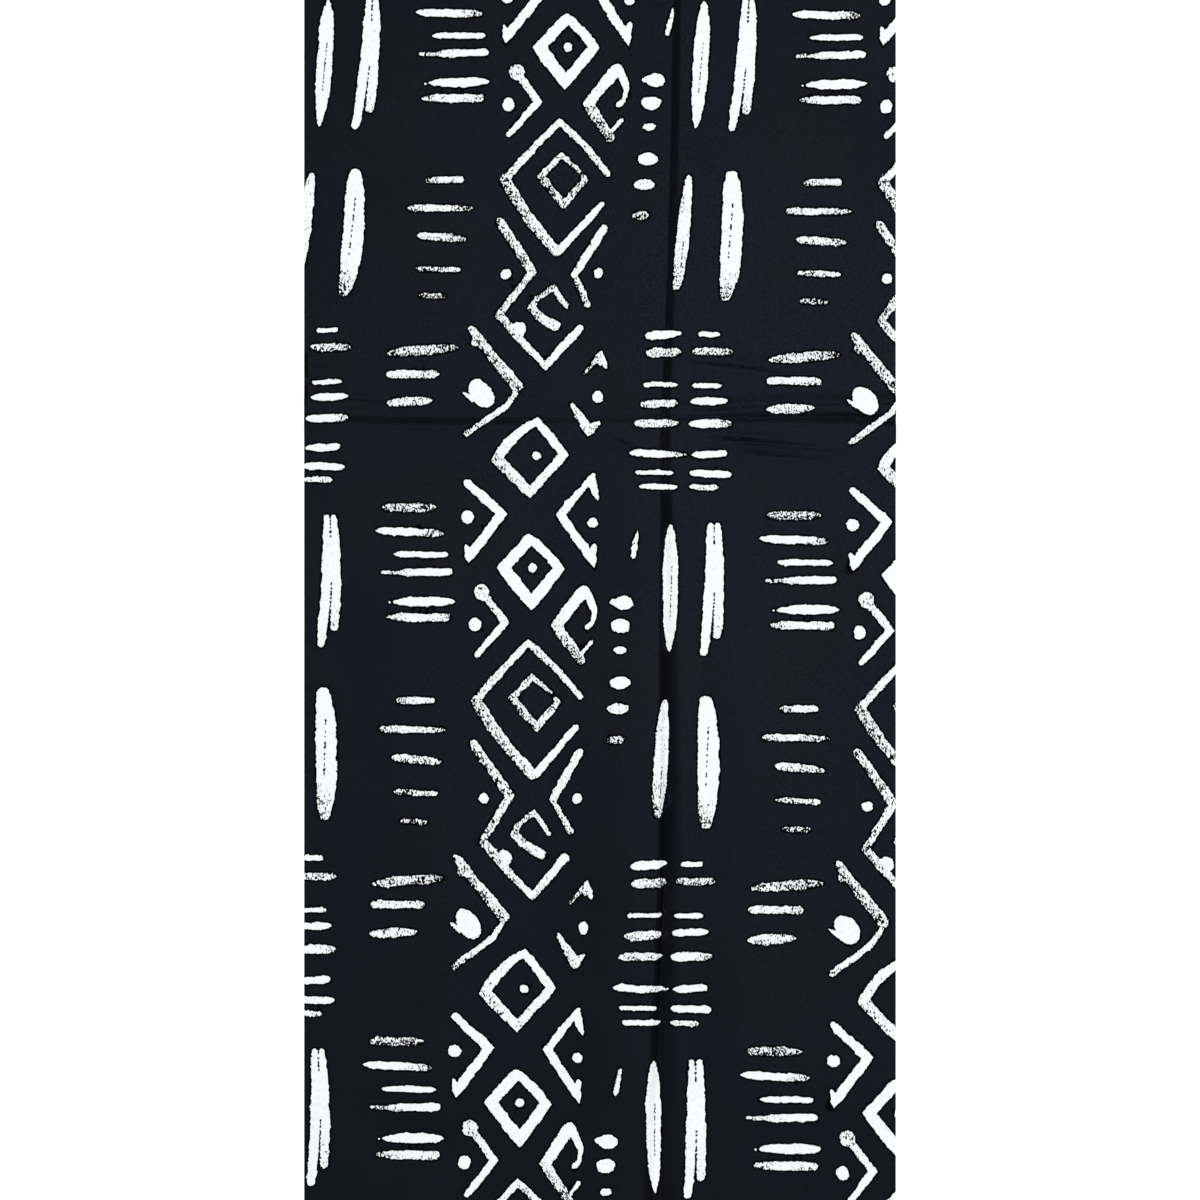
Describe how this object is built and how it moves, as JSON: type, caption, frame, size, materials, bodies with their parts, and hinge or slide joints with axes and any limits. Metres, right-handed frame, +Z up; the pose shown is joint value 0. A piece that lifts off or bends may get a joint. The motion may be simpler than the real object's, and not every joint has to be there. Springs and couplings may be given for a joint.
{
  "type": "wax print fabric",
  "caption": "Cut length of printed cotton lying flat, blue-black with hand-drawn white dashes, strokes and lozenges, with a lengthwise and a crosswise fold crease.",
  "frame": {"origin": "centre of the sheet, on the surface it lies on", "axes": "+X across the cloth to the right, +Y along the cloth towards its upper end, +Z up from the surface"},
  "size_m": [0.408, 0.832, 0.0072],
  "materials": {
    "printed_cotton": "matte plain-weave cotton, blue-black ground with a white resist print"
  },
  "bodies": {
    "root": {"cloth": "printed_cotton"}
  },
  "joints": []
}
